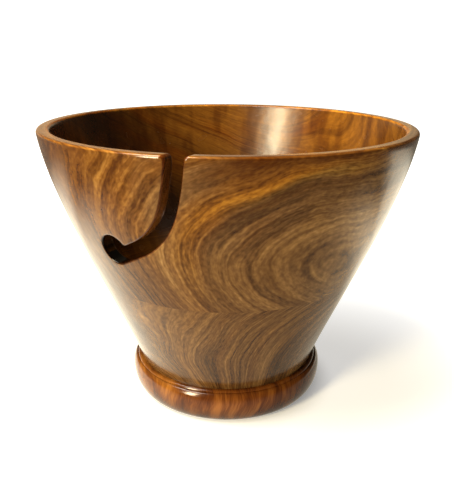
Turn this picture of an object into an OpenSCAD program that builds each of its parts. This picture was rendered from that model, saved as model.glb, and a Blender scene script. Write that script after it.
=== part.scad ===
// Yarn bowl, turned from two glued blocks of hardwood on a separate bead foot.
// A curved slot runs from the rim down to a drilled hole that guides the yarn.
// The origin is on the bowl's axis, in the plane the foot stands on. +Z is up
// and the slot is on the -Y side, towards -X.

/* [Bowl] */
// Diameter over the rim
rim_d = 165.4; // [150:0.1:180]
// Height of the rim above the table
bowl_h = 126.5; // [118:0.5:135]
// Diameter of the wall where it meets the foot
neck_d = 84.2; // [78:0.2:88]
// Lean of the wall away from upright at the foot, in degrees
lean_foot = 17.4; // [10:0.1:22]
// Lean of the wall away from upright at the rim, in degrees
lean_rim = 8.3; // [2:0.1:16]
// How far the lean at the foot holds before the wall bends
foot_pull = 23.4; // [12:0.2:36]
// How far the lean at the rim holds before the wall bends
rim_pull = 33.6; // [16:0.2:44]
// Height of the glue line between the upper and the lower block
glue_h = 61.9; // [52:0.1:68]

/* [Wall and floor] */
// Thickness of the wall at the rim
rim_wall = 5.6; // [4.5:0.1:8]
// Thickness of the wall low in the bowl
low_wall = 7.4; // [5:0.1:10]
// Thickness of the floor at its middle
floor_t = 9.5; // [6:0.1:12]
// Height over which the inside rounds from the floor into the wall
floor_round = 24; // [14:1:30]
// Rounding of both edges of the rim
rim_round = 1.3; // [0.6:0.1:2]

/* [Yarn slot] */
// Direction the slot is cut in, counted about the axis from the -Y side
slot_turn = -28; // [-60:1:60]
// Width of the slot
slot_w = 6.1; // [4:0.1:7]
// Radius of the tight bend low in the slot, to its centre line
bend_r = 35.5; // [34.5:0.5:38]
// Radius of the long curve from the bend up to the rim
sweep_r = 79.6; // [70:0.1:95]
// Sideways place of the bend's centre
bend_x = -15.7; // [-18:0.1:-12]
// Distance of the bend's centre below the rim
bend_drop = 6.75; // [4:0.05:9]
// Angle of the bend where it meets the long curve, below level
sweep_angle = 22.6; // [18:0.1:28]
// Angle of the bend where the straight tail starts, below level
tail_angle = 62.6; // [58:0.1:68]
// Length of the straight tail to the middle of the hole
tail_len = 11.6; // [10:0.1:14]
// Diameter of the drilled hole at the end of the slot
hole_d = 12.7; // [11:0.1:14]
// Rounding of the tongue's tip between the slot and the hole
tip_round = 1.4; // [0.6:0.1:2]
// Rounding of the slot's corners at the rim
lip_round = 1.8; // [0.8:0.1:2.6]

/* [Foot] */
// Height of the foot up to the bowl's neck
foot_h = 15.9; // [14:0.1:18]
// Diameter over the bead
bead_d = 92.4; // [90:0.2:98]
// Height of the bead's widest line
bead_mid = 10.2; // [8:0.1:11]
// Diameter of the ring the foot stands on
stand_d = 81.4; // [76:0.2:86]
// Radius of the small roll above the bead
roll_r = 1.25; // [0.8:0.05:1.6]
// Depth of the fine groove between the roll and the bead
groove_t = 0.55; // [0.3:0.05:0.8]
// Diameter of the spigot that centres the foot
spigot_d = 44; // [30:1:56]
// Height of the spigot
spigot_h = 5.8; // [3:0.1:7]
// Gap left for glue around and below the spigot
glue_gap = 0.15; // [0.1:0.05:0.3]
// Diameter of the chuck recess under the foot
recess_d = 56; // [40:1:64]
// Depth of the chuck recess
recess_t = 3.2; // [1:0.1:4]

/* [Hidden] */
$fn = 96;
walnut = "#8a5a2b";
walnut_low = "#7a5a34";
redwood = "#9a4e1c";
wall_steps = 40;
round_steps = 8;
neck_r = neck_d / 2;
rim_r = rim_d / 2;
floor_z = foot_h + floor_t;
round_z = floor_z + floor_round;
bend_c = [bend_x, bowl_h - bend_drop];
sweep_c = bend_c + (bend_r - sweep_r) * [cos(sweep_angle), -sin(sweep_angle)];
// How far above the rim the rounding of a lip would end, so that it crosses the rim at an angle
lip_step = 0.15;
// How much wider the rounding of the tongue's tip is than one that only touches the tail and the hole
tip_step = 0.06;
// Longer than any size of the bowl
far = 200;

// Point at t, from 0 to 1, on the cubic curve with control points p.
function cubic(p, t) =
    pow(1 - t, 3) * p[0] + 3 * pow(1 - t, 2) * t * p[1]
    + 3 * (1 - t) * t * t * p[2] + pow(t, 3) * p[3];

// Point at t, from 0 to 1, on the quadratic curve with control points p.
function quadratic(p, t) =
    pow(1 - t, 2) * p[0] + 2 * (1 - t) * t * p[1] + t * t * p[2];

// Unit vector that leans a degrees from upright, away from the axis.
function leaning(a) = [sin(a), cos(a)];

// Point on an ellipse about c with half axes a and b.
function on_ellipse(c, a, b, angle) = [c[0] + a * cos(angle), c[1] + b * sin(angle)];

neck = [neck_r, foot_h];
rim_edge = [rim_r, bowl_h - rim_round];
wall_curve = [
    neck,
    neck + foot_pull * leaning(lean_foot),
    rim_edge - rim_pull * leaning(lean_rim),
    rim_edge,
];

// Thickness of the wall at height z, measured level.
function wall_t(z) = rim_wall + (low_wall - rim_wall) * (rim_edge[1] - z) / (rim_edge[1] - foot_h);

outside = [for (i = [0:wall_steps]) cubic(wall_curve, i / wall_steps)];
inside = [for (p = outside) if (p[1] > round_z) [p[0] - wall_t(p[1]), p[1]]];
wall_slope = (inside[1][0] - inside[0][0]) / (inside[1][1] - inside[0][1]);
corner = [inside[0][0] - wall_slope * (inside[0][1] - floor_z), floor_z];
floor_curve = [[corner[0] - floor_round, floor_z], corner, inside[0]];

// The rounded rim, from its outer edge over the top to its inner edge.
rim_outer = [
    for (i = [1:round_steps])
        on_ellipse(rim_edge - [rim_round, 0], rim_round, rim_round, 90 * i / round_steps)
];
rim_inner = [
    for (i = [0:round_steps - 1])
        on_ellipse([rim_r - rim_wall + rim_round, rim_edge[1]], rim_round, rim_round, 90 + 90 * i / round_steps)
];

// Half section of the whole bowl without its foot and spigot.
module bowl_section() {
    floor_in = [for (i = [round_steps:-1:0]) quadratic(floor_curve, i / round_steps)];
    wall_in = [for (i = [len(inside) - 1:-1:1]) inside[i]];
    polygon(concat([[0, foot_h]], outside, rim_outer, rim_inner, wall_in, floor_in, [[0, floor_z]]));
}

// The part of the ring of radius r and width slot_w about c between angles a0 and a1.
module slot_arc(c, r, a0, a1) {
    reach = 2 * (r + slot_w);
    translate(c) intersection() {
        difference() {
            circle(r + slot_w / 2);
            circle(r - slot_w / 2);
        }
        polygon([[0, 0], reach * [cos(a0), sin(a0)], reach * [cos(a1), sin(a1)]]);
    }
}

// The long curve of the slot, from the bend up past the rim.
module slot_sweep() {
    slot_arc(sweep_c, sweep_r, -sweep_angle, 6);
}

// The tight bend low in the slot.
module slot_bend() {
    slot_arc(bend_c, bend_r, -tail_angle, -sweep_angle);
}

// Puts what its children draw at the end of the bend, with +X down the tail and +Y towards the tongue.
module at_tail() {
    translate(bend_c + bend_r * [cos(tail_angle), -sin(tail_angle)])
        rotate(-90 - tail_angle) mirror([0, 1]) children();
}

// The straight tail of the slot.
module slot_tail() {
    at_tail() translate([0, -slot_w / 2]) square([tail_len, slot_w]);
}

// The drilled hole, whose lower edge carries on the tail's.
module guide_hole() {
    at_tail() translate([tail_len, hole_d / 2 - slot_w / 2]) circle(hole_d / 2);
}

// What is taken off to round the tongue's tip, between the tail and the hole.
module tongue_tip() {
    half = slot_w / 2;
    hole_r = hole_d / 2;
    hole_c = [tail_len, hole_r - half];
    rise = half + tip_round - hole_c[1];
    tip_c = [tail_len - sqrt(pow(hole_r + tip_round, 2) - rise * rise), half + tip_round];
    cusp_x = tail_len - sqrt(hole_r * hole_r - pow(half - hole_c[1], 2));
    touch = hole_c + (tip_c - hole_c) * hole_r / (hole_r + tip_round);
    at_tail() difference() {
        polygon([[tip_c[0], half - 1], [tip_c[0], half], touch, hole_c, [cusp_x, half - 1]]);
        translate(tip_c) circle(tip_round + tip_step);
    }
}

// What is taken off to round the slot's two corners at the rim.
module slot_lips() {
    for (side = [-1, 1]) {
        edge_r = sweep_r + side * slot_w / 2;
        edge_x = sweep_c[0] + sqrt(edge_r * edge_r - pow(bowl_h - lip_round - sweep_c[1], 2));
        lip_c = [edge_x + side * lip_round, bowl_h - lip_round + lip_step];
        difference() {
            translate([min(edge_x - side, lip_c[0]), lip_c[1]]) square(lip_round + 1);
            translate(lip_c) circle(lip_round);
        }
    }
}

// Carries an outline from the plane across the cut right through one side of the wall.
module through_wall() {
    rotate([0, 0, slot_turn]) rotate([90, 0, 0]) linear_extrude(height = far) children();
}

// Upper block: the rim and the upper wall, with the yarn slot cut through it.
module upper_block() {
    color(walnut) difference() {
        rotate_extrude() intersection() {
            bowl_section();
            translate([0, glue_h]) square(far);
        }
        through_wall() slot_sweep();
        through_wall() slot_bend();
        through_wall() slot_tail();
        through_wall() guide_hole();
        through_wall() tongue_tip();
        through_wall() slot_lips();
    }
}

// Lower block: the lower wall and the floor, with the spigot for the foot.
module lower_block() {
    color(walnut_low) rotate_extrude() {
        intersection() {
            bowl_section();
            square([far, glue_h]);
        }
        translate([0, foot_h - spigot_h]) square([spigot_d / 2, spigot_h + floor_t / 2]);
    }
}

// Foot: a bead with a small roll above it, socketed for the spigot.
module foot_ring() {
    bead_r = bead_d / 2;
    stand_r = stand_d / 2;
    roll_c = [neck_r + roll_r / 2, foot_h - roll_r];
    groove = [roll_c[0] + roll_r, roll_c[1]];
    bead_low = [for (i = [0:wall_steps / 2])
        on_ellipse([stand_r, bead_mid], bead_r - stand_r, bead_mid, -90 + 180 * i / wall_steps)];
    bead_high = [for (i = [1:wall_steps / 2])
        on_ellipse([groove[0], bead_mid], bead_r - groove[0], groove[1] + 0.3 - bead_mid, 180 * i / wall_steps)];
    socket_h = spigot_h + glue_gap;
    color(redwood) rotate_extrude() difference() {
        union() {
            polygon(concat([[0, 0]], bead_low, bead_high, [[0, groove[1] + 0.3]]));
            translate([0, bead_mid]) square([roll_c[0], foot_h - bead_mid]);
            translate(roll_c) circle(roll_r);
        }
        polygon([groove + [groove_t, 0.9], groove - [groove_t, 0], groove + [0.1, 0.9]]);
        square([recess_d / 2, recess_t]);
        translate([0, foot_h - socket_h]) square([spigot_d / 2 + glue_gap, socket_h + 1]);
    }
}

upper_block();
lower_block();
foot_ring();
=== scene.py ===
"""A turned yarn bowl: two glued blocks of figured walnut on a redder bead foot, under gloss lacquer."""
import math

import bpy
import numpy as np
from mathutils import Euler, Matrix, Vector
from mathutils.geometry import delaunay_2d_cdt


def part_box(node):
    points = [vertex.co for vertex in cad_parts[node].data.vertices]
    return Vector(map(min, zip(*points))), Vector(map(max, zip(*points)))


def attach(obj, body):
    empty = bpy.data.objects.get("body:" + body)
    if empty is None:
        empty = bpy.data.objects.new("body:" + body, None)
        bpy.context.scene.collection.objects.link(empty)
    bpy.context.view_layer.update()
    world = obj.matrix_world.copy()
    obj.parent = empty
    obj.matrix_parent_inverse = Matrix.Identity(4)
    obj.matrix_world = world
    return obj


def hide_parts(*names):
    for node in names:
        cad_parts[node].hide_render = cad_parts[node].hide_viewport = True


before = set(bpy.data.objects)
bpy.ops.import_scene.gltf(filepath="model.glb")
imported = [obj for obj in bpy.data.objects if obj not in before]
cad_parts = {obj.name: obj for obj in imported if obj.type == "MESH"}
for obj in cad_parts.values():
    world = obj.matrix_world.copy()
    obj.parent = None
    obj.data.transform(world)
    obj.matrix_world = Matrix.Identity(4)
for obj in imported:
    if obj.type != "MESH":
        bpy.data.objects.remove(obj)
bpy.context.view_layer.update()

# ---------------------------------------------------------------- sizes, in millimetres
MM = 0.001

upper_low, upper_high = (np.array(corner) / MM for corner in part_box("upper_block"))
_, foot_high = (np.array(corner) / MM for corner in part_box("foot_ring"))
RIM_Z = upper_high[2]
GLUE_Z = upper_low[2]
NECK_Z = foot_high[2]
BEAD_R = foot_high[0]
RIM_R = 82.7
NECK_R = 42.1
# The outside is one cubic curve, with this lean in degrees and this pull at its two ends.
LEAN_FOOT, LEAN_RIM = 17.4, 8.3
FOOT_PULL, RIM_PULL = 23.4, 33.6
CURVE_POINTS = 2001
RIM_WALL, LOW_WALL = 5.6, 7.4
RIM_ROUND = 1.3
FLOOR_Z = NECK_Z + 9.5
FLOOR_ROUND = 24.0

# The slot is cut level through the wall: a long sweep, a tighter bend and a straight tail to the hole.
SLOT_TURN = math.radians(-28)
SLOT_W = 6.1
BEND_R, SWEEP_R = 35.5, 79.6
BEND_C = np.array([-15.7, RIM_Z - 6.75])
SWEEP_ANGLE, TAIL_ANGLE = math.radians(22.6), math.radians(62.6)
TAIL_LEN = 11.6
HOLE_R = 6.35
TIP_ROUND, LIP_ROUND = 1.4, 1.8
SLOT_ROUND = 0.8

LIP_STEP, HOLE_STEP, CURVE_STEP = 0.35, 0.6, 0.9
ROUND_STEPS = 5
TURNS = 360
SHARP_ANGLE = math.radians(38)
ON_AXIS = 1e-6


# ---------------------------------------------------------------- the turned profile
def cubic(p, t):
    """Points at the shares t along the cubic curve with the four control points p."""
    t = np.asarray(t)[:, None]
    return (1 - t) ** 3 * p[0] + 3 * (1 - t) ** 2 * t * p[1] + 3 * (1 - t) * t**2 * p[2] + t**3 * p[3]


def leaning(degrees):
    """Upward unit vector of the profile that leans outward by that much."""
    return np.array([math.sin(math.radians(degrees)), math.cos(math.radians(degrees))])


neck = np.array([NECK_R, NECK_Z])
rim_edge = np.array([RIM_R, RIM_Z - RIM_ROUND])
wall_curve = cubic(
    [neck, neck + FOOT_PULL * leaning(LEAN_FOOT), rim_edge - RIM_PULL * leaning(LEAN_RIM), rim_edge],
    np.linspace(0, 1, CURVE_POINTS),
)


def outer_r(z):
    """Outside radius of the wall at height z; above the curve's end it goes on at the rim's lean."""
    beyond = np.maximum(np.asarray(z, float) - rim_edge[1], 0)
    return np.interp(z, wall_curve[:, 1], wall_curve[:, 0]) + 0.5 * beyond * math.tan(math.radians(LEAN_RIM))


def inner_r(z):
    """Inside radius of the wall at height z, above the rounding into the floor."""
    share = (rim_edge[1] - np.asarray(z, float)) / (rim_edge[1] - NECK_Z)
    return outer_r(z) - RIM_WALL - (LOW_WALL - RIM_WALL) * share


# ---------------------------------------------------------------- mesh helpers
def new_piece(name, verts, faces, marks=()):
    """A smooth-shaded mesh object from vertices in millimetres, without those that no face uses.
    Marks are named values of the vertices, for the material."""
    used = sorted({vertex for face in faces for vertex in face})
    place = {vertex: i for i, vertex in enumerate(used)}
    points = [tuple(np.asarray(verts[vertex]) * MM) for vertex in used]
    mesh = bpy.data.meshes.new(name)
    mesh.from_pydata(points, [], [[place[vertex] for vertex in face] for face in faces])
    for mark, values in dict(marks).items():
        layer = mesh.attributes.new(mark, "FLOAT", "POINT")
        layer.data.foreach_set("value", np.asarray(values, np.float32)[used])
    mesh.validate()
    mesh.shade_smooth()
    mesh.set_sharp_from_angle(angle=SHARP_ANGLE)
    mesh.update()
    piece = bpy.data.objects.new(name, mesh)
    bpy.context.scene.collection.objects.link(piece)
    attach(piece, "root")
    return piece


def arc(centre, radius, start, end, step):
    """Points on an arc, both ends included."""
    count = max(2, int(math.ceil(abs(end - start) * radius / step)) + 1)
    angles = np.linspace(start, end, count)
    return np.asarray(centre) + radius * np.stack([np.cos(angles), np.sin(angles)], 1)


def line(start, end, step):
    """Points on a straight line, both ends included."""
    count = max(2, int(math.ceil(np.linalg.norm(np.subtract(end, start)) / step)) + 1)
    return np.linspace(start, end, count)


def joined(parts):
    """One run of points from several that start where the last one ended."""
    return np.concatenate([parts[0]] + [part[1:] for part in parts[1:]])


def revolve(profile):
    """Vertices and faces of a closed solid of revolution. A profile point on the axis becomes one vertex."""
    verts, faces, rings = [], [], []
    angles = np.arange(TURNS) * 2 * math.pi / TURNS
    for r, z in profile:
        if r < ON_AXIS:
            rings.append([len(verts)])
            verts.append((0, 0, z))
        else:
            rings.append(list(range(len(verts), len(verts) + TURNS)))
            verts += [(r * math.sin(a), -r * math.cos(a), z) for a in angles]
    for low, high in zip(rings, rings[1:]):
        for i in range(TURNS):
            j = (i + 1) % TURNS
            if len(low) == 1 and len(high) > 1:
                faces.append((low[0], high[j], high[i]))
            elif len(high) == 1 and len(low) > 1:
                faces.append((low[i], low[j], high[0]))
            elif len(low) > 1:
                faces.append((low[i], low[j], high[j], high[i]))
    return verts, faces


# ---------------------------------------------------------------- the slot's outline
def slot_outline():
    """The slot's edge in the plane across the cut, from the rim on the tongue's side, round the hole and back
    to the rim. The wood is on the right of the way along it."""
    half = SLOT_W / 2
    sweep_c = BEND_C + (BEND_R - SWEEP_R) * np.array([math.cos(SWEEP_ANGLE), -math.sin(SWEEP_ANGLE)])
    tail_dir = np.array([-math.sin(TAIL_ANGLE), -math.cos(TAIL_ANGLE)])
    tail_up = np.array([-math.cos(TAIL_ANGLE), math.sin(TAIL_ANGLE)])
    tail_start = BEND_C - BEND_R * tail_up

    def lip(edge_r, side):
        """Centre of the rounding between rim and slot, and the angle on the sweep at which it ends."""
        reach = edge_r + side * LIP_ROUND
        drop = RIM_Z - LIP_ROUND - sweep_c[1]
        centre = np.array([sweep_c[0] + math.sqrt(reach**2 - drop**2), RIM_Z - LIP_ROUND])
        return centre, math.atan2(centre[1] - sweep_c[1], centre[0] - sweep_c[0])

    left_c, left_end = lip(SWEEP_R - half, -1)
    right_c, right_end = lip(SWEEP_R + half, 1)

    def local(x, y):
        """The point x down the tail and y to its upper side."""
        return tail_start + x * tail_dir + y * tail_up

    hole_y = HOLE_R - half
    tip_y = half + TIP_ROUND
    tip_x = TAIL_LEN - math.sqrt((HOLE_R + TIP_ROUND) ** 2 - (tip_y - hole_y) ** 2)
    hole_c, tip_c = local(TAIL_LEN, hole_y), local(tip_x, tip_y)
    tip_from = math.atan2(*(-tail_up)[::-1])
    tip_to = math.atan2(*(hole_c - tip_c)[::-1])
    tip_to -= 2 * math.pi * round((tip_to - tip_from) / (2 * math.pi))
    hole_from = math.atan2(*(tip_c - hole_c)[::-1])
    hole_to = math.atan2(*(-tail_up)[::-1])
    while hole_to < hole_from:
        hole_to += 2 * math.pi
    return joined([
        arc(left_c, LIP_ROUND, math.pi / 2, left_end, LIP_STEP),
        arc(sweep_c, SWEEP_R - half, left_end, -SWEEP_ANGLE, CURVE_STEP),
        arc(BEND_C, BEND_R - half, -SWEEP_ANGLE, -TAIL_ANGLE, CURVE_STEP),
        line(local(0, half), local(tip_x, half), CURVE_STEP),
        arc(tip_c, TIP_ROUND, tip_from, tip_to, LIP_STEP),
        arc(hole_c, HOLE_R, hole_from, hole_to, HOLE_STEP),
        line(local(TAIL_LEN, -half), local(0, -half), CURVE_STEP),
        arc(BEND_C, BEND_R + half, -TAIL_ANGLE, -SWEEP_ANGLE, CURVE_STEP),
        arc(sweep_c, SWEEP_R + half, -SWEEP_ANGLE, right_end, CURVE_STEP),
        arc(right_c, LIP_ROUND, right_end + math.pi, math.pi / 2, LIP_STEP),
    ])


# ---------------------------------------------------------------- the upper block
CUT_OUT = np.array([math.sin(SLOT_TURN), -math.cos(SLOT_TURN)])
CUT_ACROSS = np.array([math.cos(SLOT_TURN), math.sin(SLOT_TURN)])
STEP = 2 * math.pi / TURNS
LEVELS = 41
WALL_STEPS = 4
BLEND_ANGLE = math.radians(9)
ROUND_FADE = 5.0
RIM_DENSITY = 1.3
FLAT_R = 75.0
CLEARANCE = 0.9
FLAT_AREA = 1e-5
WELD = 1e-7
TOUCH = 0.01


def heading(angle):
    """Level unit vector at an angle from the cut's direction."""
    return math.cos(angle) * CUT_OUT + math.sin(angle) * CUT_ACROSS


def smooth(x):
    """0 below 0, 1 above 1 and a smooth step between them."""
    x = min(max(x, 0.0), 1.0)
    return x * x * (3 - 2 * x)


def wall_column(outside, way, round_r):
    """The points over the wall's edge, from the outer face round to the inner face. outside(shift) is the
    point of the outer face that lies shift in from the edge, and way is the level way through the wall."""
    outer, inner = [], []
    for angle in np.linspace(0, math.pi / 2, ROUND_STEPS + 1):
        shift, depth = round_r * (1 - math.sin(angle)), round_r * (1 - math.cos(angle))
        x, y, z = outside(shift)
        point = np.array([x, y])
        along = point @ way
        reach = along - math.sqrt(along**2 - point @ point + float(inner_r(z)) ** 2)
        outer.append([*(point - depth * way), z])
        inner.append([*(point - (reach - depth) * way), z])
    across = np.linspace(outer[-1], inner[-1], WALL_STEPS + 1)[1:-1]
    return np.array(outer + list(across) + inner[::-1])


def rim_column(angle, way_angle):
    """The column over the rim at an angle from the cut's direction."""

    def outside(shift):
        """The point of the outer face at that drop below the rim's top."""
        z = RIM_Z - shift
        return *(float(outer_r(z)) * heading(angle)), z

    return wall_column(outside, heading(way_angle), RIM_ROUND)


def slot_column(point, normal, round_r):
    """The column through the slot's cut face at a point of its outline, whose normal points into the wood."""

    def outside(shift):
        """The point of the outer face that far into the wood from the outline."""
        u, z = point + shift * normal
        depth = math.sqrt(float(outer_r(z)) ** 2 - u * u)
        return *(u * CUT_ACROSS + depth * CUT_OUT), z

    return wall_column(outside, CUT_OUT, round_r)


def edge_columns():
    """Columns round the whole edge of the wall: along the rim, into the slot, round the hole and out again.
    Also gives how many of them, from the first, run from one regular turn to another, and those two turns."""
    outline = slot_outline()
    tangent = np.gradient(outline, axis=0)
    tangent[0] = tangent[-1] = (1, 0)
    normal = np.stack([tangent[:, 1], -tangent[:, 0]], 1)
    normal /= np.linalg.norm(normal, axis=1)[:, None]
    run = np.concatenate([[0], np.cumsum(np.linalg.norm(np.diff(outline, axis=0), axis=1))])
    left_angle, right_angle = (math.asin(outline[i][0] / float(outer_r(RIM_Z))) for i in (0, -1))
    low_angle = min(left_angle - BLEND_ANGLE, math.asin(outline[:, 0].min() / float(inner_r(GLUE_Z))))
    first = int(math.floor(low_angle / STEP)) - 1
    last = int(math.ceil((right_angle + BLEND_ANGLE) / STEP))

    def rim_run(start, end, lip_angle):
        """Columns from start to end, whose way through the wall turns from radial into that of the cut."""
        angles = np.linspace(start, end, int(abs(end - start) / STEP * RIM_DENSITY) + 1)
        return [rim_column(angle, smooth(abs(angle - lip_angle) / BLEND_ANGLE) * angle) for angle in angles]

    columns = rim_run(first * STEP, left_angle, left_angle)[:-1]
    for point, way_in, at in zip(outline, normal, run):
        share = smooth(min(at, run[-1] - at) / ROUND_FADE)
        columns.append(slot_column(point, way_in, RIM_ROUND + (SLOT_ROUND - RIM_ROUND) * share))
    columns += rim_run(right_angle, last * STEP, right_angle)[1:]
    free = len(columns)
    columns += [rim_column(turn * STEP, turn * STEP) for turn in range(last + 1, first + TURNS)]
    return np.array(columns), free, first, last


def inside_loops(points, ends):
    """Which points lie inside the loops made by the edges, whose ends come as pairs of points."""
    a, b = ends[:, 0], ends[:, 1]
    x, y = points[:, 0][:, None], points[:, 1][:, None]
    crosses = (a[:, 1] > y) != (b[:, 1] > y)
    with np.errstate(divide="ignore", invalid="ignore"):
        at = a[:, 0] + (y - a[:, 1]) * (b[:, 0] - a[:, 0]) / (b[:, 1] - a[:, 1])
    return (crosses & (x < at)).sum(1) % 2 == 1


def gap_to(points, ends):
    """Distance from each point to the nearest of the edges, whose ends come as pairs of points."""
    a, run = ends[:, 0], ends[:, 1] - ends[:, 0]
    off = points[:, None] - a[None]
    at = np.clip((off * run).sum(2) / np.maximum((run * run).sum(1), 1e-12), 0, 1)
    return np.linalg.norm(off - at[..., None] * run, axis=2).min(1)


def skin(verts, edge_ids, free, first, last, radius, outward):
    """One face of the wall below its edge: a regular net of turns and levels, with the strip next to the slot
    filled by triangles. Adds the net's vertices and returns its faces and its lowest ring."""
    levels = np.linspace(GLUE_Z, RIM_Z - RIM_ROUND, LEVELS)
    ids = {}
    for turn in range(TURNS):
        for level, z in enumerate(levels[:-1]):
            ids[turn, level] = len(verts)
            verts.append([*(float(radius(z)) * heading(turn * STEP)), z])
    turns_of_edge = [first % TURNS] + [None] * (free - 2) + [t % TURNS for t in range(last, first + TURNS)]
    for turn, vertex in zip(turns_of_edge, edge_ids):
        if turn is not None:
            ids[turn, LEVELS - 1] = vertex

    def flat(vertex):
        """The vertex's place on the unrolled wall."""
        x, y, z = verts[vertex]
        return [math.atan2(np.dot((x, y), CUT_ACROSS), np.dot((x, y), CUT_OUT)) * FLAT_R, z]

    edge = np.array([flat(v) for v in edge_ids[:free]])
    void = np.stack([edge, np.roll(edge, -1, axis=0)], 1)
    net = {}
    for turn in range(first, last + 1):
        for level in range(LEVELS):
            vertex = ids.get((turn % TURNS, level))
            if vertex is not None:
                net[turn, level] = vertex
    keys = list(net)
    places = np.array([flat(net[k]) for k in keys])
    border = np.array([k[0] in (first, last) for k in keys])
    clear = border | (~inside_loops(places, void) & (gap_to(places, void[:-1]) > CLEARANCE))
    kept = {k for k, good in zip(keys, clear) if good}

    def quad(turn, level):
        """The four corners of a cell of the net."""
        return [(turn, level), (turn + 1, level), (turn + 1, level + 1), (turn, level + 1)]

    faces, chain, used = [], set(), set()

    def toggle(a, b):
        """Adds an edge to the border of the open strip, or takes it out again."""
        chain.symmetric_difference_update({frozenset((a, b))})

    for turn in range(first, last):
        toggle((turn, 0), (turn + 1, 0))
        for level in range(LEVELS - 1):
            corners = quad(turn, level)
            if all(c in kept for c in corners):
                faces.append([net[c] for c in corners])
                used.update(corners)
                for a, b in zip(corners, corners[1:] + corners[:1]):
                    toggle(a, b)
    for level in range(LEVELS - 1):
        toggle((first, level), (first, level + 1))
        toggle((last, level), (last, level + 1))
    for turn in range(last, first + TURNS):
        for level in range(LEVELS - 1):
            faces.append([ids[c[0] % TURNS, c[1]] for c in quad(turn, level)])

    chain = [tuple(sorted(pair)) for pair in chain]
    spare = [k for k in kept if k not in used]
    named = sorted({net[k] for pair in chain for k in pair} | {net[k] for k in spare} | set(edge_ids[:free]))
    place = {vertex: i for i, vertex in enumerate(named)}
    rims = [(place[net[a]], place[net[b]]) for a, b in chain]
    rims += [(place[a], place[b]) for a, b in zip(edge_ids[: free - 1], edge_ids[1:free])]
    at = np.array([flat(v) for v in named])
    out_at, _, triangles, origin, _, _ = delaunay_2d_cdt([Vector(p) for p in at], rims, [], 0, WELD)
    back = [named[o[0]] if o else None for o in origin]
    centres = np.array([np.mean([out_at[i] for i in t], axis=0) for t in triangles])
    wanted = inside_loops(centres, at[np.array(rims)])
    for triangle, good in zip(triangles, wanted):
        if good and all(back[i] is not None for i in triangle):
            p, q, r = (out_at[i] for i in triangle)
            turned = (q - p).cross(r - p)
            corners = [back[i] for i in triangle]
            if abs(turned) > FLAT_AREA:
                faces.append(corners if turned > 0 else corners[::-1])
    if not outward:
        faces = [f[::-1] for f in faces]
    return faces, [ids[turn, 0] for turn in range(TURNS)]


def upper_block():
    """The upper block: its edge all round, its outer and inner faces, and its glue face."""
    columns, free, first, last = edge_columns()
    count, depth = columns.shape[:2]
    verts = [list(p) for column in columns for p in column]
    faces = []
    for i in range(count):
        j = (i + 1) % count
        for k in range(depth - 1):
            faces.append([i * depth + k, j * depth + k, j * depth + k + 1, i * depth + k + 1])
    outer_ids = [i * depth for i in range(count)]
    inner_ids = [i * depth + depth - 1 for i in range(count)]
    outer_faces, outer_low = skin(verts, outer_ids, free, first, last, outer_r, True)
    inner_faces, inner_low = skin(verts, inner_ids, free, first, last, inner_r, False)
    faces += outer_faces + inner_faces
    for i in range(TURNS):
        j = (i + 1) % TURNS
        faces.append([outer_low[j], outer_low[i], inner_low[i], inner_low[j]])
    cut = np.zeros(len(verts))
    for i, column in enumerate(columns[:free]):
        if column[0][2] < RIM_Z - RIM_ROUND - TOUCH:
            cut[i * depth + 2 : (i + 1) * depth - 2] = 1.0
    return new_piece("upper_block_turned", verts, faces, marks={"cut": cut})


bowl_top = upper_block()
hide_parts("upper_block")


# ---------------------------------------------------------------- the lower block
SPIGOT_R, SPIGOT_H = 22.0, 5.8
WALL_PITCH, SPIGOT_PITCH, GLUE_PITCH, FLAT_PITCH = 1.5, 3.0, 2.0, 4.0
FLOOR_STEP = 1.0
CURVE_MARKS = 50
OUTSIDE_POINTS, INSIDE_POINTS, ROUND_POINTS = 200, 100, 121


def even(points):
    """The same run of points, re-spaced evenly at about the wall's pitch, with its two ends kept."""
    points = np.asarray(points, float)
    run = np.concatenate([[0], np.cumsum(np.linalg.norm(np.diff(points, axis=0), axis=1))])
    at = np.linspace(0, run[-1], max(2, int(math.ceil(run[-1] / WALL_PITCH)) + 1))
    return np.stack([np.interp(at, run, points[:, i]) for i in (0, 1)], 1)


def lower_block():
    """The lower block, turned: spigot, neck, outer wall, glue face, inner wall and rounded floor."""
    wall_marks = wall_curve[::CURVE_MARKS, 1]
    low_z = wall_marks[wall_marks > FLOOR_Z + FLOOR_ROUND][0]
    slope = float(inner_r(low_z + 1)) - float(inner_r(low_z))
    wall_foot = np.array([float(inner_r(low_z)), low_z])
    corner = np.array([wall_foot[0] - slope * (low_z - FLOOR_Z), FLOOR_Z])
    floor_edge = corner - (FLOOR_ROUND, 0)
    t = np.linspace(0, 1, ROUND_POINTS)[:, None]
    bend = (1 - t) ** 2 * floor_edge + 2 * (1 - t) * t * corner + t**2 * wall_foot
    z_out = np.linspace(NECK_Z, GLUE_Z, OUTSIDE_POINTS)
    z_in = np.linspace(low_z, GLUE_Z, INSIDE_POINTS)
    wall_in = np.stack([inner_r(z_in), z_in], 1)
    inside = joined([line((0, FLOOR_Z), floor_edge, FLOOR_STEP), bend, wall_in])
    spigot_z = NECK_Z - SPIGOT_H
    profile = joined([
        line((0, spigot_z), (SPIGOT_R, spigot_z), FLAT_PITCH),
        line((SPIGOT_R, spigot_z), (SPIGOT_R, NECK_Z), SPIGOT_PITCH),
        line((SPIGOT_R, NECK_Z), (NECK_R, NECK_Z), FLAT_PITCH),
        even(np.stack([outer_r(z_out), z_out], 1)),
        line((float(outer_r(GLUE_Z)), GLUE_Z), (float(inner_r(GLUE_Z)), GLUE_Z), GLUE_PITCH),
        even(inside[::-1]),
    ])
    return new_piece("lower_block_turned", *revolve(profile))


bowl_base = lower_block()
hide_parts("lower_block")


# ---------------------------------------------------------------- the foot
BEAD_MID, STAND_R, ROLL_R = 10.2, 40.7, 1.25
GROOVE_T, GLUE_GAP = 0.55, 0.15
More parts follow.
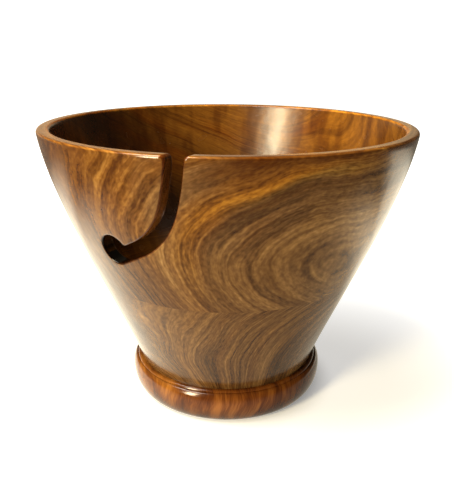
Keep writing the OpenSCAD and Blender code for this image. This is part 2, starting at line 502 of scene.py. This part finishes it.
# The bead's upper quarter rises a little above the groove, and ends short of its top at this angle.
BEAD_RISE, BEAD_END = 0.3, 84
ROLL_START = 12
RECESS_R, RECESS_T = 28.0, 3.2
EDGE_ROUND = 0.5
BEAD_LOW_STEP, BEAD_HIGH_STEP, ROLL_STEP, EDGE_STEP = 0.5, 0.3, 0.18, 0.15
STAND_PITCH, RECESS_PITCH = 1.5, 1.0


def ellipse(centre, across, up, start, end, step):
    """Points on an ellipse between two angles in degrees."""
    count = int(math.ceil(abs(end - start) * math.pi / 180 * max(across, up) / step)) + 1
    angles = np.radians(np.linspace(start, end, count))
    return np.asarray(centre) + np.stack([across * np.cos(angles), up * np.sin(angles)], 1)


def foot_ring():
    """The foot, turned: chuck recess, bead, groove, small roll and the socket that takes the spigot."""
    roll_c = np.array([NECK_R + ROLL_R / 2, NECK_Z - ROLL_R])
    groove = roll_c + (ROLL_R, 0)
    rise = groove[1] + BEAD_RISE - BEAD_MID
    low = ellipse((STAND_R, BEAD_MID), BEAD_R - STAND_R, BEAD_MID, -90, 0, BEAD_LOW_STEP)
    high = ellipse((groove[0], BEAD_MID), BEAD_R - groove[0], rise, 0, BEAD_END, BEAD_HIGH_STEP)
    notch = groove - (GROOVE_T, 0)
    roll = ellipse(roll_c, ROLL_R, ROLL_R, ROLL_START, 90, ROLL_STEP)
    socket_r, socket_z = SPIGOT_R + GLUE_GAP, NECK_Z - SPIGOT_H - GLUE_GAP
    edge_c = (RECESS_R + EDGE_ROUND, EDGE_ROUND)
    recess_edge = ellipse(edge_c, EDGE_ROUND, EDGE_ROUND, 180, 270, EDGE_STEP)
    bead = joined([
        line((0, RECESS_T), (RECESS_R, RECESS_T), SPIGOT_PITCH),
        line((RECESS_R, RECESS_T), recess_edge[0], RECESS_PITCH),
        recess_edge,
        line(recess_edge[-1], low[0], STAND_PITCH),
        low,
        high,
    ])
    profile = joined([
        np.concatenate([bead, [notch], roll]),
        line(roll[-1], (socket_r, NECK_Z), SPIGOT_PITCH),
        line((socket_r, NECK_Z), (socket_r, socket_z), GLUE_PITCH),
        line((socket_r, socket_z), (0, socket_z), FLAT_PITCH),
    ])
    return new_piece("foot_ring_turned", *revolve(profile))


foot = foot_ring()
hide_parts("foot_ring")


# ---------------------------------------------------------------- node helpers
BLACK = (0.0, 0.0, 0.0, 1.0)
WHITE = (1.0, 1.0, 1.0, 1.0)


def node(tree, kind, inputs=(), **settings):
    """A new shader node with its settings and its inputs, each a value or another node's output."""
    made = tree.nodes.new("ShaderNode" + kind)
    for name, value in settings.items():
        setattr(made, name, value)
    for name, value in dict(inputs).items():
        if isinstance(value, bpy.types.NodeSocket):
            tree.links.new(value, made.inputs[name])
        else:
            made.inputs[name].default_value = value
    return made


def calc(tree, operation, *values):
    """The result of a math node."""
    return node(tree, "Math", enumerate(values), operation=operation).outputs[0]


def total(tree, *values):
    """The sum of several values."""
    result = values[0]
    for value in values[1:]:
        result = calc(tree, "ADD", result, value)
    return result


def product(tree, *values):
    """The product of several values."""
    result = values[0]
    for value in values[1:]:
        result = calc(tree, "MULTIPLY", result, value)
    return result


def vector(tree, operation, *values):
    """The result of a vector math node: a value for the operations that measure, else a vector."""
    made = node(tree, "VectorMath", enumerate(values), operation=operation)
    return made.outputs["Value" if operation in ("DOT_PRODUCT", "LENGTH", "DISTANCE") else "Vector"]


def scaled(tree, place, factor):
    """The place times a factor."""
    return node(tree, "VectorMath", {"Vector": place, "Scale": factor}, operation="SCALE").outputs["Vector"]


def along(tree, place, axis):
    """The place's X, Y or Z."""
    return node(tree, "SeparateXYZ", {"Vector": place}).outputs[axis]


def between(tree, value, low, high, to_low=0.0, to_high=1.0):
    """The value carried smoothly from the range low, high onto the range to_low, to_high, and held beyond."""
    inputs = {"Value": value, "From Min": low, "From Max": high, "To Min": to_low, "To Max": to_high}
    return node(tree, "MapRange", inputs, interpolation_type="SMOOTHSTEP").outputs["Result"]


def mixed(tree, share, first, second, blend="MIX"):
    """A colour mixed from two."""
    made = node(tree, "Mix", data_type="RGBA", blend_type=blend)
    for socket, value in zip((made.inputs[0], made.inputs[6], made.inputs[7]), (share, first, second)):
        if isinstance(value, bpy.types.NodeSocket):
            tree.links.new(value, socket)
        else:
            socket.default_value = value
    return made.outputs[2]


def tinted(tree, share, wood, shade):
    """The wood's colour, as far as the share goes, times a shade of red, green and blue."""
    return mixed(tree, share, wood, (*shade, 1.0), "MULTIPLY")


def colour(red, green, blue):
    """Linear colour from display values of 0 to 255."""
    parts = [v / 255 for v in (red, green, blue)]
    return (*[p / 12.92 if p <= 0.04045 else ((p + 0.055) / 1.055) ** 2.4 for p in parts], 1.0)


def ramp(tree, value, stops):
    """A colour picked by the value from stops, each a position and a colour."""
    made = node(tree, "ValToRGB", {"Fac": value})
    elements = made.color_ramp.elements
    while len(elements) < len(stops):
        elements.new(0.5)
    for element, (at, shade) in zip(elements, stops):
        element.position = at
        element.color = shade
    return made.outputs["Color"]


def empty_material(name):
    """A new material and its tree, with nothing in it but the output."""
    material = bpy.data.materials.new(name)
    material.use_nodes = True
    tree = material.node_tree
    for old in list(tree.nodes):
        if old.type != "OUTPUT_MATERIAL":
            tree.nodes.remove(old)
    return material, tree


def close(tree, shader):
    """Links the finished shader to the material's output."""
    tree.links.new(shader, tree.nodes["Material Output"].inputs["Surface"])


# ---------------------------------------------------------------- the wood
def warped(tree, place, size, reach, seed):
    """The place moved about by up to about the reach, in swirls of the given size."""
    inputs = {"Vector": scaled(tree, place, 1 / size), "W": seed, "Detail": 1.0, "Scale": 1.0}
    swirl = node(tree, "TexNoise", inputs, noise_dimensions="4D").outputs["Color"]
    off = scaled(tree, vector(tree, "SUBTRACT", swirl, (0.5, 0.5, 0.5)), 4 * reach)
    return vector(tree, "ADD", place, off)


def ring_coordinate(tree, place, centre, squash, turn):
    """Distance across the growth rings, which are nested quadric shells about the centre. Their axes are
    turned about X, Y and Z by that many degrees."""
    off = vector(tree, "SUBTRACT", place, centre)
    parts = []
    for share, axis in zip(squash, Euler([math.radians(angle) for angle in turn]).to_matrix().col):
        reach = vector(tree, "DOT_PRODUCT", off, axis)
        parts.append(product(tree, reach, reach, share))
    square = total(tree, *parts)
    return product(tree, calc(tree, "SQRT", calc(tree, "ABSOLUTE", square)), calc(tree, "SIGN", square))


def figure(tree, place, ring, length, width, detail, rough, seed):
    """Streaky noise about 0, mostly within 0.5 of it, with streaks of the given length and width in mm."""
    across = calc(tree, "MULTIPLY_ADD", ring, 1 / width, seed)
    along_grain = scaled(tree, place, 1 / length)
    inputs = {"Vector": along_grain, "W": across, "Scale": 1.0, "Detail": detail, "Roughness": rough}
    fac = node(tree, "TexNoise", inputs, noise_dimensions="4D").outputs["Fac"]
    return calc(tree, "MULTIPLY_ADD", fac, 2.0, -1.0)


def near(tree, place, centre, reach):
    """1 at the centre, falling smoothly to 0 at the reach."""
    return between(tree, vector(tree, "DISTANCE", place, centre), 0.0, reach, 1.0, 0.0)


def band(tree, ring, at, width):
    """1 on the ring at the given coordinate, falling smoothly to 0 the width away."""
    off = calc(tree, "ABSOLUTE", calc(tree, "SUBTRACT", ring, at))
    return between(tree, off, 0.0, width, 1.0, 0.0)


RIPPLE_SIZE = 7.0
# How rough wood and lacquer are, and by how much the fine figure and the ripple change that.
WOOD_ROUGH, WOOD_ROUGH_SPREAD = 0.42, 0.05
COAT_ROUGH, COAT_ROUGH_SPREAD = 0.12, 0.08
COAT_IOR = 1.5
WOOD_BUMP = {"Strength": 0.25, "Distance": 0.00005}
COAT_BUMP = {"Strength": 0.5, "Distance": 0.0002}


def lacquered(tree, wood, fine, place, dull):
    """Closes the tree: wood of this colour, with bumps along its fine figure, under rippled gloss lacquer.
    Dull is added to the lacquer's roughness."""
    noise = {"Vector": scaled(tree, place, 1 / RIPPLE_SIZE), "Detail": 1.0, "Scale": 1.0}
    ripple = node(tree, "TexNoise", noise).outputs["Fac"]
    inputs = {
        "Base Color": wood,
        "Roughness": total(tree, product(tree, fine, WOOD_ROUGH_SPREAD), WOOD_ROUGH),
        "Normal": node(tree, "Bump", {**WOOD_BUMP, "Height": fine}).outputs["Normal"],
        "Specular IOR Level": 0.0,
        "Coat Weight": 1.0,
        "Coat Roughness": total(tree, product(tree, ripple, COAT_ROUGH_SPREAD), COAT_ROUGH, dull),
        "Coat IOR": COAT_IOR,
        "Coat Normal": node(tree, "Bump", {**COAT_BUMP, "Height": ripple}).outputs["Normal"],
    }
    close(tree, node(tree, "BsdfPrincipled", inputs).outputs["BSDF"])


def wood_material(name):
    """A new material, with its empty tree and the place in it, in millimetres."""
    material, tree = empty_material(name)
    return material, tree, scaled(tree, node(tree, "TexCoord").outputs["Object"], 1 / MM)


# ---------------------------------------------------------------- the walnut of the two blocks
UPPER_RINGS = dict(centre=(0.0, 35.0, 161.0), squash=(0.85, 0.59, 0.18), turn=(-23, -41, -36))
LOWER_RINGS = dict(centre=(-61.0, -64.0, 106.0), squash=(1.13, 0.30, -0.23), turn=(-18, -50, 60))

# Size and reach of the two warps of the grain, and the step of the seed from one to the other.
WALNUT_WARPS = ((38.0, 1.2, 0), (10.0, 0.24, 3))
# Length, width, detail, roughness and step of the seed of each figure.
BROAD = (75.0, 4.2, 2.0, 0.50, 0)
STREAK = (70.0, 1.2, 2.0, 0.55, 11)
HAIR = (34.0, 0.40, 2.0, 0.60, 23)
FLECK = (2.2, 0.30, 1.0, 0.50, 31)
HUE = (50.0, 3.0, 1.0, 0.50, 47)
VEIN = (50.0, 0.75, 2.0, 0.60, 61)
BROAD_SHARE, STREAK_SHARE, HAIR_SHARE, FLECK_SHARE, HUE_SHARE = 0.48, 0.50, 0.52, 0.38, 1.6

# Where the masks of inside, bottom and rim begin and are full (painted light goes on the rim's top): by how
# far a face looks outward, how far it looks upward, and its distance from the bowl's axis.
INSIDE_OUTWARD = (-20.0, 0.0)
BOTTOM_UPWARD, BOTTOM_REACH = (0.1, 0.6), (60.0, 66.0)
LIT_RIM_UPWARD, LIT_RIM_REACH = (0.3, 0.8), (74.0, 76.0)
CALM_INSIDE = -0.50

WARM_HEIGHT, WARM_LOW_SHARE = (72.0, 108.0), 0.3
VEIN_RANGE, VEIN_SHADE = (0.02, 0.36), (0.55, 0.48, 0.42)
BROKEN_RANGE, BROKEN_SHARE = (-0.5, 0.3), 0.65
INSIDE_SHADE = (1.75, 1.40, 0.50)
# Painted light on the rim's top, which faces the lamps.
RIM_PAINTED_LIGHT = (2.9, 3.0, 3.0)
# End grain of the slot's cut faces: darker wood, with painted shade of the slot on it.
CUT_GRAIN_AND_SHADE = (0.50, 0.30, 0.20)
INSIDE_DULL = 0.10
# Painted shade on the inside wall: it fades out between these heights, upward and down to the bottom.
PAINTED_SHADE_TOP, PAINTED_SHADE_BOTTOM = (68.0, 112.0), (54.0, 66.0)
PAINTED_SHADE_SHARE, BOTTOM_PAINTED_SHADE_SHARE = 0.82, 0.05
FLAME_SIZE = (11.0, 11.0, 60.0)
FLAME_RANGE, FLAME_SHARE, FLAME_SHADE = (0.44, 0.62), 0.85, (0.50, 0.40, 0.34)
# The middle of the painted shade on the hole's wall, about 6 mm to the left of the hole's own middle.
HOLE_SHADE_AT = (-45.0, -48.6, 85.6)
HOLE_SHADE_REACH, HOLE_PAINTED_SHADE_SHARE = (8.0, 11.0), 0.96

WARM_STOPS = (
    (0.05, colour(36, 17, 5)),
    (0.32, colour(64, 34, 9)),
    (0.50, colour(87, 51, 15)),
    (0.68, colour(108, 69, 23)),
    (0.95, colour(139, 97, 40)),
)
OLIVE_STOPS = (
    (0.05, colour(38, 24, 11)),
    (0.32, colour(66, 43, 20)),
    (0.50, colour(88, 60, 30)),
    (0.68, colour(108, 77, 40)),
    (0.95, colour(140, 106, 62)),
)
# Stretches of the rings with a shade of their own: ring coordinate, width, middle, reach, shade and share.
UPPER_STREAKS = (
    # the golden streak right of the slot, and the dark one above it
    (64.7, 1.5, (14.0, -77.0, 114.0), 62.0, (1.75, 1.80, 0.85), 1.1),
    (68.2, 3.2, (26.0, -77.0, 120.0), 80.0, (0.38, 0.26, 0.18), 1.3),
    # the paler wood of the right front, brightened further by a painted reflection, and the dark line under
    # the golden streak
    (57.0, 60.0, (50.0, -50.0, 86.0), 44.0, (1.65, 1.80, 1.9), 1.0),
    (62.9, 0.9, (15.0, -76.0, 100.0), 70.0, (0.55, 0.45, 0.36), 0.9),
    # the paler tongue
    (68.0, 14.0, (-26.0, -69.0, 108.0), 46.0, (1.50, 1.70, 2.1), 1.1),
    # the dark heartwood at the back left, painted light at the back right, mostly where it falls on the
    # inside wall, and a painted reflection on the right
    (66.0, 12.0, (-62.0, 44.0, 112.0), 62.0, (0.30, 0.26, 0.30), 1.0),
    (60.0, 60.0, (62.0, 45.0, 114.0), 80.0, (1.5, 1.5, 1.25), 1.2),
    (60.0, 60.0, (66.0, -25.0, 88.0), 40.0, (1.7, 1.75, 1.7), 1.0),
)


def walnut_regions(tree, place):
    """The masks of the bowl's inside, the rim's top, where painted light goes, and the cut faces of the slot.
    """
    level = vector(tree, "MULTIPLY", place, (1.0, 1.0, 0.0))
    normal = node(tree, "NewGeometry").outputs["Normal"]
    outward = vector(tree, "DOT_PRODUCT", normal, level)
    upward = along(tree, normal, "Z")
    reach = vector(tree, "LENGTH", level)
    cut = node(tree, "Attribute", attribute_name="cut").outputs["Fac"]
    low_inside = between(tree, reach, *BOTTOM_REACH, 1.0, 0.0)
    bottom = product(tree, between(tree, upward, *BOTTOM_UPWARD), low_inside)
    inside = calc(tree, "MAXIMUM", between(tree, outward, *INSIDE_OUTWARD, 1.0, 0.0), bottom)
    inside = product(tree, inside, calc(tree, "SUBTRACT", 1.0, cut))
    rim = product(tree, between(tree, upward, *LIT_RIM_UPWARD), between(tree, reach, *LIT_RIM_REACH))
    return inside, rim, cut


def walnut(name, rings, seed, warm_range, contrast, streaks=()):
    """Figured walnut, olive or warm as the ring coordinate goes through the warm range."""
    material, tree, place = wood_material(name)
    moved = place
    for size, reach, step in WALNUT_WARPS:
        moved = warped(tree, moved, size, reach, seed + step)
    ring = ring_coordinate(tree, moved, **rings)

    def grain(length, width, detail, rough, step):
        """A figure of this wood."""
        return figure(tree, place, ring, length, width, detail, rough, seed + step)

    inside, rim, cut = walnut_regions(tree, place)
    height = along(tree, place, "Z")
    streak, hair = grain(*STREAK), grain(*HAIR)
    lines = total(
        tree,
        product(tree, grain(*BROAD), BROAD_SHARE),
        product(tree, streak, STREAK_SHARE),
        product(tree, hair, HAIR_SHARE),
        product(tree, grain(*FLECK), FLECK_SHARE),
    )
    lines = product(tree, lines, calc(tree, "MULTIPLY_ADD", inside, CALM_INSIDE, 1.0))
    tone = calc(tree, "MULTIPLY_ADD", lines, contrast, 0.5)
    warmth = total(tree, between(tree, ring, *warm_range), product(tree, grain(*HUE), HUE_SHARE))
    warm_height = between(tree, height, *WARM_HEIGHT, WARM_LOW_SHARE, 1.0)
    warmth = product(tree, between(tree, warmth, 0.0, 1.0), warm_height)
    wood = mixed(tree, warmth, ramp(tree, tone, OLIVE_STOPS), ramp(tree, tone, WARM_STOPS))
    wood = tinted(tree, between(tree, grain(*VEIN), *VEIN_RANGE, 0.0, contrast), wood, VEIN_SHADE)
    broken = between(tree, total(tree, streak, hair), *BROKEN_RANGE, BROKEN_SHARE, 1.0)
    for at, width, middle, reach, shade, share in streaks:
        here = product(tree, band(tree, ring, at, width), near(tree, place, middle, reach))
        wood = tinted(tree, product(tree, here, broken, share), wood, shade)
    wood = tinted(tree, inside, wood, INSIDE_SHADE)
    # Painted light on the rim's top.
    wood = tinted(tree, rim, wood, RIM_PAINTED_LIGHT)
    # Painted shade on the inside wall, fading out upward and toward the bottom.
    painted_shade_above = between(tree, height, *PAINTED_SHADE_TOP, PAINTED_SHADE_SHARE, 0.0)
    painted_shade_below = between(tree, height, *PAINTED_SHADE_BOTTOM, BOTTOM_PAINTED_SHADE_SHARE, PAINTED_SHADE_SHARE)
    dark = product(tree, inside, calc(tree, "MINIMUM", painted_shade_above, painted_shade_below))
    wood = mixed(tree, dark, wood, BLACK)
    tall = vector(tree, "MULTIPLY", place, tuple(1 / size for size in FLAME_SIZE))
    noise = {"Vector": tall, "Detail": 2.0, "Scale": 1.0, "Roughness": 0.55}
    flame = between(tree, node(tree, "TexNoise", noise).outputs["Fac"], *FLAME_RANGE, 0.0, FLAME_SHARE)
    wood = tinted(tree, product(tree, inside, flame), wood, FLAME_SHADE)
    # Darker end grain and painted shade on the slot's cut faces.
    wood = tinted(tree, cut, wood, CUT_GRAIN_AND_SHADE)
    # Painted shade on the hole's wall.
    hole_shadow = between(tree, vector(tree, "DISTANCE", place, HOLE_SHADE_AT), *HOLE_SHADE_REACH, HOLE_PAINTED_SHADE_SHARE, 0.0)
    wood = mixed(tree, product(tree, cut, hole_shadow), wood, BLACK)
    lacquered(tree, wood, hair, place, product(tree, inside, INSIDE_DULL))
    return material


bowl_top.data.materials.append(
    walnut("upper_walnut", UPPER_RINGS, 31.0, (62.5, 66.5), 0.70, UPPER_STREAKS)
)
bowl_base.data.materials.append(walnut("lower_walnut", LOWER_RINGS, 5.0, (-90.0, 90.0), 0.72))


# ---------------------------------------------------------------- the redwood of the foot
# Size, reach and seed of each warp, then length, width, detail, roughness and seed of each figure.
FOOT_WARPS = ((22.0, 3.4, 7.0), (6.0, 0.5, 8.0))
FOOT_ACROSS = (0.95, 0.28, -0.14)
FOOT_STREAK = (16.0, 2.2, 3.0, 0.6, 3.0)
FOOT_HAIR = (6.0, 0.5, 2.0, 0.6, 9.0)
FOOT_BROAD = (18.0, 6.0, 1.0, 0.5, 5.0)
FOOT_STREAK_SHARE, FOOT_HAIR_SHARE, FOOT_BROAD_SHARE = 0.52, 0.34, 0.55
FOOT_STOPS = (
    (0.08, colour(48, 21, 7)),
    (0.35, colour(78, 38, 11)),
    (0.55, colour(102, 55, 17)),
    (0.90, colour(140, 85, 33)),
)
# Painted light on the left, painted shade on the right and near the floor, darker towards the top: axis,
# range, share at its two ends and shade.
FOOT_LIGHT_SHADE_AND_TONE = (
    ("X", -42.0, 0.0, 1.0, 0.0, (1.35, 1.5, 1.4)),
    ("X", 8.0, 46.0, 0.0, 1.0, (0.74, 0.68, 0.46)),
    ("Z", 0.0, 11.0, 1.0, 0.0, (0.42, 0.46, 0.60)),
    ("Z", 19.0, 25.0, 0.0, 1.0, (0.62, 0.40, 0.30)),
)
FOOT_DULL = -0.02


def redwood(name):
    """Redder wood with short wavy grain in one direction."""
    material, tree, place = wood_material(name)
    moved = place
    for size, reach, seed in FOOT_WARPS:
        moved = warped(tree, moved, size, reach, seed)
    ring = vector(tree, "DOT_PRODUCT", moved, FOOT_ACROSS)
    hair = figure(tree, place, ring, *FOOT_HAIR)
    tone = total(
        tree,
        0.5,
        product(tree, figure(tree, place, ring, *FOOT_BROAD), FOOT_BROAD_SHARE),
        product(tree, figure(tree, place, ring, *FOOT_STREAK), FOOT_STREAK_SHARE),
        product(tree, hair, FOOT_HAIR_SHARE),
    )
    wood = ramp(tree, tone, FOOT_STOPS)
    # Painted light on the left, painted shade on the right and near the floor, darker towards the top.
    for axis, low, high, low_share, high_share, shade in FOOT_LIGHT_SHADE_AND_TONE:
        share = between(tree, along(tree, place, axis), low, high, low_share, high_share)
        wood = tinted(tree, share, wood, shade)
    lacquered(tree, wood, hair, place, FOOT_DULL)
    return material


foot.data.materials.append(redwood("foot_redwood"))


# ---------------------------------------------------------------- floor, light and camera, in metres
TABLE_HALF, TABLE_DROP = 3.0, 0.0001
TABLE_SHADE = (0.82, 0.83, 0.79, 1.0)
GLOW_SHADE, PAINTED_REFLECTION_SHADE = (1.0, 1.0, 0.985, 1.0), (1.0, 0.92, 0.72, 1.0)
# Glow of the floor, painted light: weaker near the bowl, as a painted shadow, than far off.
GLOW_IN_PAINTED_SHADOW, FAR_GLOW = 0.60, 1.0


def glow_with_painted_shadow(tree, place):
    """Painted light glowing from the floor: weaker in a painted shadow of the bowl and a painted contact
    shadow round the foot, stronger on the left.
    """
    away = vector(tree, "LENGTH", vector(tree, "SUBTRACT", place, (0.045, -0.005, 0.0)))
    glow = between(tree, away, 0.03, 0.125, GLOW_IN_PAINTED_SHADOW, FAR_GLOW)
    # A painted contact shadow round the foot.
    contact_shadow = between(tree, vector(tree, "LENGTH", place), 0.036, 0.056, 0.45, 0.0)
    glow = calc(tree, "SUBTRACT", glow, contact_shadow)
    return total(tree, glow, between(tree, along(tree, place, "X"), -0.25, -0.02, 0.3, 0.0))


def painted_floor_reflection(tree, place):
    """Painted reflection of the floor, seen only by the lacquer: bright near and behind the bowl, dark in
    front and in a painted shadow right of the foot.
    """
    x, y = along(tree, place, "X"), along(tree, place, "Y")
    around = between(tree, vector(tree, "LENGTH", place), 0.14, 0.27, 1.0, 0.05)
    around = product(tree, around, between(tree, y, -0.11, 0.02, 0.06, 1.0))
    beyond = between(tree, vector(tree, "DISTANCE", place, (0.10, 0.0, 0.0)), 0.26, 0.52, 1.0, 0.1)
    behind = product(tree, between(tree, y, 0.02, 0.12), beyond)
    # A painted shadow in the reflection, right of the foot.
    shaded = between(tree, vector(tree, "DISTANCE", place, (0.08, -0.01, 0.0)), 0.04, 0.13, 0.30, 1.0)
    seen = calc(tree, "MAXIMUM", around, behind)
    return product(tree, seen, between(tree, x, -0.15, 0.12, 2.6, 1.9), shaded)


def table_material():
    """White, with painted light glowing from it, and a painted reflection that only the lacquer sees."""
    material, tree = empty_material("white_table")
    place = node(tree, "TexCoord").outputs["Object"]
    diffuse = node(tree, "BsdfDiffuse", {"Color": TABLE_SHADE}).outputs[0]
    glow = {"Color": GLOW_SHADE, "Strength": glow_with_painted_shadow(tree, place)}
    mirror = {"Color": PAINTED_REFLECTION_SHADE, "Strength": painted_floor_reflection(tree, place)}
    table = node(tree, "AddShader", {0: diffuse, 1: node(tree, "Emission", glow).outputs[0]}).outputs[0]
    mirrored = node(tree, "Emission", mirror).outputs[0]
    glossy = node(tree, "LightPath").outputs["Is Glossy Ray"]
    close(tree, node(tree, "MixShader", {0: glossy, 1: table, 2: mirrored}).outputs[0])
    return material


def floor():
    """The table that the bowl stands on."""
    half = TABLE_HALF
    corners = [(-half, -half, 0), (half, -half, 0), (half, half, 0), (-half, half, 0)]
    mesh = bpy.data.meshes.new("table")
    mesh.from_pydata(corners, [], [(0, 1, 2, 3)])
    mesh.materials.append(table_material())
    table = bpy.data.objects.new("table", mesh)
    table.location.z = -TABLE_DROP
    bpy.context.scene.collection.objects.link(table)


# The way from the bowl to each lamp, its distance, width, height, power and colour.
KEY = dict(
    way=(-0.585, -0.672, 0.330), away=1.1, wide=0.20, high=0.56, power=15.5, shade=(1.0, 0.84, 0.54)
)
SKY = dict(
    way=(-0.42, -0.19, 0.88), away=1.2, wide=0.55, high=0.55, power=14.0, shade=(1.0, 0.95, 0.84)
)
LAMP_AIM = Vector((0, 0, 0.06))
CAMERA_AT = Vector((0.0, -0.2735, 0.1626))
CAMERA_PITCH, CAMERA_ROLL = math.radians(18.45), math.radians(0.41)
LENS, SENSOR = 45.39, 36.0
CLIP_NEAR, CLIP_FAR = 0.01, 20.0


def soft_light(name, way, away, wide, high, power, shade):
    """A rectangular lamp that shines back along the way, from that far off the bowl's middle."""
    lamp = bpy.data.lights.new(name, "AREA")
    lamp.shape = "RECTANGLE"
    lamp.size, lamp.size_y = wide, high
    lamp.energy = power
    lamp.color = shade
    light = bpy.data.objects.new(name, lamp)
    towards = Vector(way).normalized()
    light.location = towards * away + LAMP_AIM
    light.rotation_euler = towards.to_track_quat("Z", "Y").to_euler()
    bpy.context.scene.collection.objects.link(light)


SEEN_GLOW, LEAST_GLOW = 1.2, 0.045
WORLD_TINT = (1.0, 0.80, 0.52, 1.0)


def surroundings():
    """White for the camera. As light it is warm, bright behind and low, and dim overhead and in front."""
    world = bpy.data.worlds.new("studio")
    world.use_nodes = True
    bpy.context.scene.world = world
    tree = world.node_tree
    way = node(tree, "TexCoord").outputs["Generated"]
    behind = between(tree, along(tree, way, "Y"), -0.25, 0.45, 0.0, 0.55)
    left = between(tree, along(tree, way, "X"), 0.20, 0.45, 1.0, 0.1)
    low = between(tree, along(tree, way, "Z"), 0.14, 0.32, 1.0, 0.08)
    light = total(tree, product(tree, behind, left, low), LEAST_GLOW)
    seen = node(tree, "LightPath").outputs["Is Camera Ray"]
    unseen = calc(tree, "SUBTRACT", 1.0, seen)
    strength = total(tree, product(tree, seen, SEEN_GLOW), product(tree, unseen, light))
    tint = mixed(tree, seen, WORLD_TINT, WHITE)
    background = node(tree, "Background", {"Color": tint, "Strength": strength})
    output = next(n for n in tree.nodes if n.type == "OUTPUT_WORLD")
    tree.links.new(background.outputs[0], output.inputs["Surface"])


def camera():
    """Looks level from the front, then pitched down and rolled a little."""
    lens = bpy.data.cameras.new("camera")
    lens.lens = LENS
    lens.sensor_width = lens.sensor_height = SENSOR
    lens.clip_start, lens.clip_end = CLIP_NEAR, CLIP_FAR
    eye = bpy.data.objects.new("camera", lens)
    pitch = Matrix.Rotation(math.pi / 2 - CAMERA_PITCH, 4, "X")
    eye.matrix_world = Matrix.Translation(CAMERA_AT) @ pitch @ Matrix.Rotation(CAMERA_ROLL, 4, "Z")
    bpy.context.scene.collection.objects.link(eye)
    bpy.context.scene.camera = eye


floor()
soft_light("key", **KEY)
soft_light("sky", **SKY)
surroundings()
camera()
bpy.context.scene.view_settings.view_transform = "Standard"
